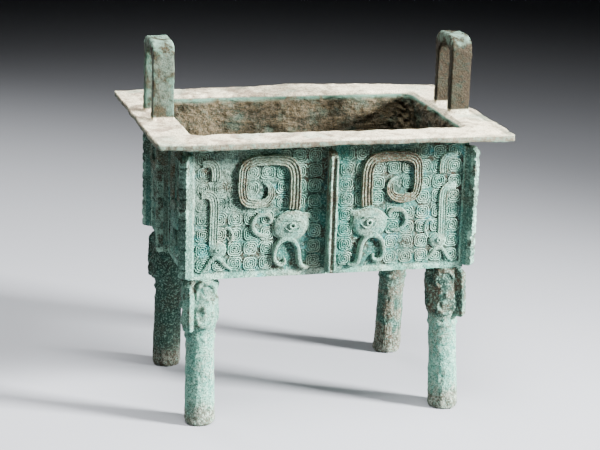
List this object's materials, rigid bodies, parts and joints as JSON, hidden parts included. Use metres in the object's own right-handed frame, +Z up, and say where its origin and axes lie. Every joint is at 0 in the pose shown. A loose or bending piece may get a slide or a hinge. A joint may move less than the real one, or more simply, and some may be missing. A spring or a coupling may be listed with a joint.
{
  "type": "square four-legged bronze ding vessel",
  "caption": "Rectangular bronze vessel on round legs, with a flat everted rim, upright loop handles, notched flanges and coiled dragons in relief.",
  "frame": {"origin": "on the ground, under the middle of the vessel", "axes": "+X along the long sides, -Y out of the front, +Z up"},
  "size_m": [0.2, 0.142, 0.209],
  "materials": {
    "patinated_bronze": "corroded bronze: a dull, pale green patina with brown, cream and blue-green patches"
  },
  "bodies": {
    "root": {"ding_casting": "patinated_bronze"}
  },
  "joints": []
}
